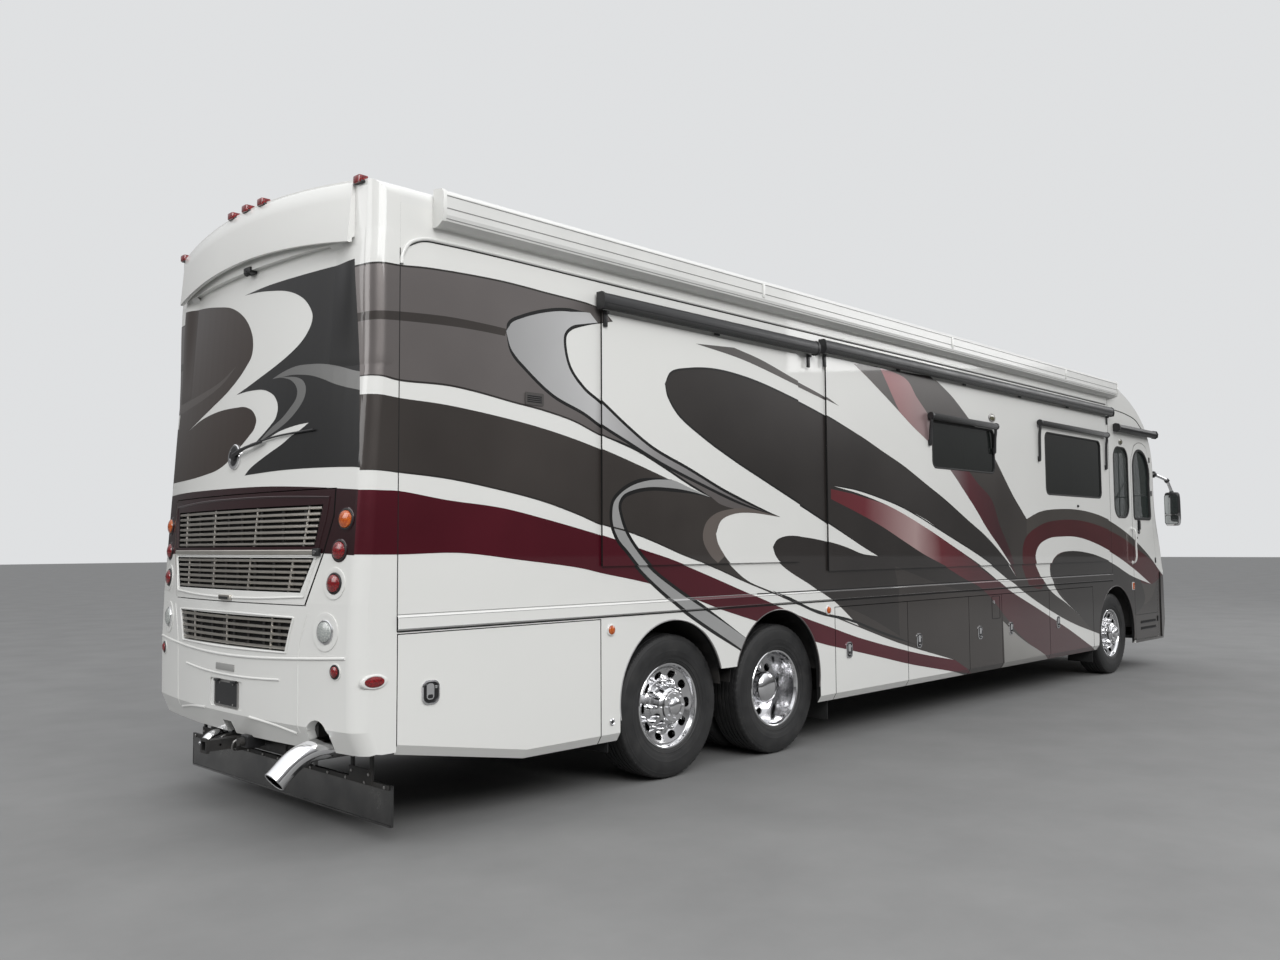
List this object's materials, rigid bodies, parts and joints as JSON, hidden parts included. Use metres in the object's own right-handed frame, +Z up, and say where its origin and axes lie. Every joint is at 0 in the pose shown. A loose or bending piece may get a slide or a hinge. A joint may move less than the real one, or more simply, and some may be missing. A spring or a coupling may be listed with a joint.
{
  "type": "motorhome",
  "caption": "Bus-type motorhome with slide-out rooms, side-hinged luggage bay doors, entry door, steered front wheels, twin drive wheels and a tag axle.",
  "frame": {"origin": "on the floor, under the middle of the whole length and width", "axes": "+X forward, +Y to the left side of the vehicle, +Z up"},
  "size_m": [13.039, 3.055, 3.975],
  "materials": {
    "body_paint": "gloss clear coat, white with charcoal and maroon swooshes",
    "roof_white": "satin white fibreglass",
    "roof_unit": "satin white moulding",
    "tyre": "matte",
    "wheel_alloy": "polished",
    "glass": "dark tint",
    "awning_black": "satin black",
    "awning_white": "satin white",
    "chassis_black": "semi-matte black",
    "chrome": "mirror polish",
    "mirror_shell": "gloss black with chrome",
    "flap": "dark glossy sheet",
    "floor": "carpeted plywood",
    "interior": "soft leather and moulded trim"
  },
  "bodies": {
    "root": {"cab_windows": "glass", "chassis": "chassis_black", "cockpit": "interior", "drive_axle": "chassis_black", "engine": "chassis_black", "entry_steps": "floor", "floor": "floor", "front_axle": "chassis_black", "front_cap": "body_paint", "hitch": "chassis_black", "mirrors": "mirror_shell", "mud_flap": "flap", "rear_bumper": "body_paint", "rear_cap": "body_paint", "roof": "roof_white", "roof_units": "roof_unit", "side_wall_left": "body_paint", "side_wall_right": "body_paint", "skirt_left": "body_paint", "skirt_right": "body_paint", "tag_axle": "chassis_black", "tail_pipes": "chrome", "wall_awnings": "awning_white"},
    "entry_door": {"entry_door": "body_paint", "entry_door_window": "glass"},
    "bay_door_right_1": {"bay_door_right_1": "body_paint"},
    "bay_door_right_2": {"bay_door_right_2": "body_paint"},
    "bay_door_right_3": {"bay_door_right_3": "body_paint"},
    "bay_door_right_4": {"bay_door_right_4": "body_paint"},
    "bay_door_right_5": {"bay_door_right_5": "body_paint"},
    "bay_door_right_6": {"bay_door_right_6": "body_paint"},
    "bay_door_left_1": {"bay_door_left_1": "body_paint"},
    "bay_door_left_2": {"bay_door_left_2": "body_paint"},
    "bay_door_left_3": {"bay_door_left_3": "body_paint"},
    "bay_door_left_4": {"bay_door_left_4": "body_paint"},
    "engine_hatch": {"engine_hatch": "body_paint"},
    "slide_room_right_rear": {"slide_room_right_rear": "body_paint", "slide_awnings_right_rear": "awning_black"},
    "slide_room_right_front": {"slide_room_right_front": "body_paint", "slide_windows_right": "glass", "slide_awnings_right_front": "awning_black"},
    "slide_room_left_rear": {"slide_room_left_rear": "body_paint", "slide_awnings_left_rear": "awning_black"},
    "slide_room_left_front": {"slide_room_left_front": "body_paint", "slide_windows_left": "glass", "slide_awnings_left_front": "awning_black"},
    "steering_knuckle_left": {"steering_knuckle_left": "chassis_black"},
    "front_wheel_left": {"wheel_front_left": "wheel_alloy", "tyre_front_left": "tyre"},
    "drive_wheels_left": {"wheel_drive_left": "wheel_alloy", "tyres_drive_left": "tyre"},
    "tag_wheel_left": {"wheel_tag_left": "wheel_alloy", "tyre_tag_left": "tyre"},
    "steering_knuckle_right": {"steering_knuckle_right": "chassis_black"},
    "front_wheel_right": {"wheel_front_right": "wheel_alloy", "tyre_front_right": "tyre"},
    "drive_wheels_right": {"wheel_drive_right": "wheel_alloy", "tyres_drive_right": "tyre"},
    "tag_wheel_right": {"wheel_tag_right": "wheel_alloy", "tyre_tag_right": "tyre"}
  },
  "joints": [
    {"name": "entry_door_hinge", "type": "hinge", "parent": "root", "child": "entry_door", "pos_m": [6.03955, -1.283, 1.6], "axis": [0, 0, 1], "range_deg": [0, 90]},
    {"name": "bay_door_right_1_hinge", "type": "hinge", "parent": "root", "child": "bay_door_right_1", "pos_m": [-4.40545, -1.283, 0.72], "axis": [0, 0, 1], "range_deg": [0, 90]},
    {"name": "bay_door_right_2_hinge", "type": "hinge", "parent": "root", "child": "bay_door_right_2", "pos_m": [-0.53445, -1.283, 0.72], "axis": [0, 0, 1], "range_deg": [0, 90]},
    {"name": "bay_door_right_3_hinge", "type": "hinge", "parent": "root", "child": "bay_door_right_3", "pos_m": [0.64355, -1.283, 0.72], "axis": [0, 0, 1], "range_deg": [0, 90]},
    {"name": "bay_door_right_4_hinge", "type": "hinge", "parent": "root", "child": "bay_door_right_4", "pos_m": [1.36555, -1.283, 0.72], "axis": [0, 0, 1], "range_deg": [0, 90]},
    {"name": "bay_door_right_5_hinge", "type": "hinge", "parent": "root", "child": "bay_door_right_5", "pos_m": [2.54555, -1.283, 0.72], "axis": [0, 0, 1], "range_deg": [0, 90]},
    {"name": "bay_door_right_6_hinge", "type": "hinge", "parent": "root", "child": "bay_door_right_6", "pos_m": [3.79555, -1.283, 0.72], "axis": [0, 0, 1], "range_deg": [0, 90]},
    {"name": "bay_door_left_1_hinge", "type": "hinge", "parent": "root", "child": "bay_door_left_1", "pos_m": [-4.40545, 1.283, 0.72], "axis": [0, 0, -1], "range_deg": [0, 90]},
    {"name": "bay_door_left_2_hinge", "type": "hinge", "parent": "root", "child": "bay_door_left_2", "pos_m": [-0.53445, 1.283, 0.72], "axis": [0, 0, -1], "range_deg": [0, 90]},
    {"name": "bay_door_left_3_hinge", "type": "hinge", "parent": "root", "child": "bay_door_left_3", "pos_m": [1.36555, 1.283, 0.72], "axis": [0, 0, -1], "range_deg": [0, 90]},
    {"name": "bay_door_left_4_hinge", "type": "hinge", "parent": "root", "child": "bay_door_left_4", "pos_m": [3.79555, 1.283, 0.72], "axis": [0, 0, -1], "range_deg": [0, 90]},
    {"name": "engine_hatch_hinge", "type": "hinge", "parent": "root", "child": "engine_hatch", "pos_m": [-6.28245, 0, 1.954], "axis": [0, 1, 0], "range_deg": [0, 75]},
    {"name": "slide_room_right_rear_travel", "type": "slide", "parent": "root", "child": "slide_room_right_rear", "axis": [0, -1, 0], "range_m": [0, 0.55]},
    {"name": "slide_room_right_front_travel", "type": "slide", "parent": "root", "child": "slide_room_right_front", "axis": [0, -1, 0], "range_m": [0, 0.75]},
    {"name": "slide_room_left_rear_travel", "type": "slide", "parent": "root", "child": "slide_room_left_rear", "axis": [0, 1, 0], "range_m": [0, 0.55]},
    {"name": "slide_room_left_front_travel", "type": "slide", "parent": "root", "child": "slide_room_left_front", "axis": [0, 1, 0], "range_m": [0, 0.75]},
    {"name": "steering_left", "type": "hinge", "parent": "root", "child": "steering_knuckle_left", "pos_m": [4.57355, 0.86, 0.503], "axis": [0, 0, 1], "range_deg": [-35, 35]},
    {"name": "front_wheel_left_spin", "type": "hinge", "parent": "steering_knuckle_left", "child": "front_wheel_left", "pos_m": [4.57355, 1.065, 0.503], "axis": [0, 1, 0], "continuous": true},
    {"name": "drive_wheels_left_spin", "type": "hinge", "parent": "root", "child": "drive_wheels_left", "pos_m": [-2.40745, 1.065, 0.503], "axis": [0, 1, 0], "continuous": true},
    {"name": "tag_wheel_left_spin", "type": "hinge", "parent": "root", "child": "tag_wheel_left", "pos_m": [-3.65045, 1.065, 0.503], "axis": [0, 1, 0], "continuous": true},
    {"name": "steering_right", "type": "hinge", "parent": "root", "child": "steering_knuckle_right", "pos_m": [4.57355, -0.86, 0.503], "axis": [0, 0, 1], "range_deg": [-35, 35]},
    {"name": "front_wheel_right_spin", "type": "hinge", "parent": "steering_knuckle_right", "child": "front_wheel_right", "pos_m": [4.57355, -1.065, 0.503], "axis": [0, 1, 0], "continuous": true},
    {"name": "drive_wheels_right_spin", "type": "hinge", "parent": "root", "child": "drive_wheels_right", "pos_m": [-2.40745, -1.065, 0.503], "axis": [0, 1, 0], "continuous": true},
    {"name": "tag_wheel_right_spin", "type": "hinge", "parent": "root", "child": "tag_wheel_right", "pos_m": [-3.65045, -1.065, 0.503], "axis": [0, 1, 0], "continuous": true}
  ],
  "couplings": [
    {"joint": "steering_right", "follows": "steering_left", "ratio": 1}
  ]
}
